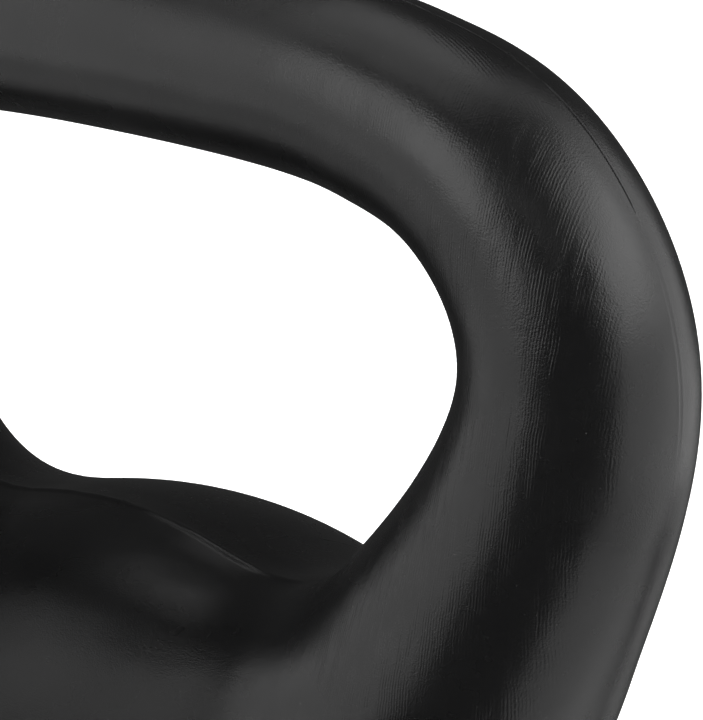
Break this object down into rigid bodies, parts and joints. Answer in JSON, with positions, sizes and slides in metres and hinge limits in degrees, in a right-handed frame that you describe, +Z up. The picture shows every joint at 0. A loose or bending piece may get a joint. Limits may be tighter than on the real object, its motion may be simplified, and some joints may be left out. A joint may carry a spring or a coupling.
{
  "type": "kettlebell",
  "caption": "Kettlebell with a ball-shaped body and a looped handle: a hollow plastic shell filled with cement, closed by a plug in its recessed base.",
  "frame": {"origin": "on the floor, under the middle of the body", "axes": "+Z up, +X along the grip, +Y through the window of the handle"},
  "size_m": [0.2176, 0.18, 0.266],
  "materials": {
    "shell_plastic": "matt black, as moulded, with a slight sheen",
    "cement": "rough grey cement casting",
    "plug_plastic": "matt black injection moulding"
  },
  "bodies": {
    "root": {"shell": "shell_plastic", "ballast": "cement", "filler_plug": "plug_plastic"}
  },
  "joints": []
}
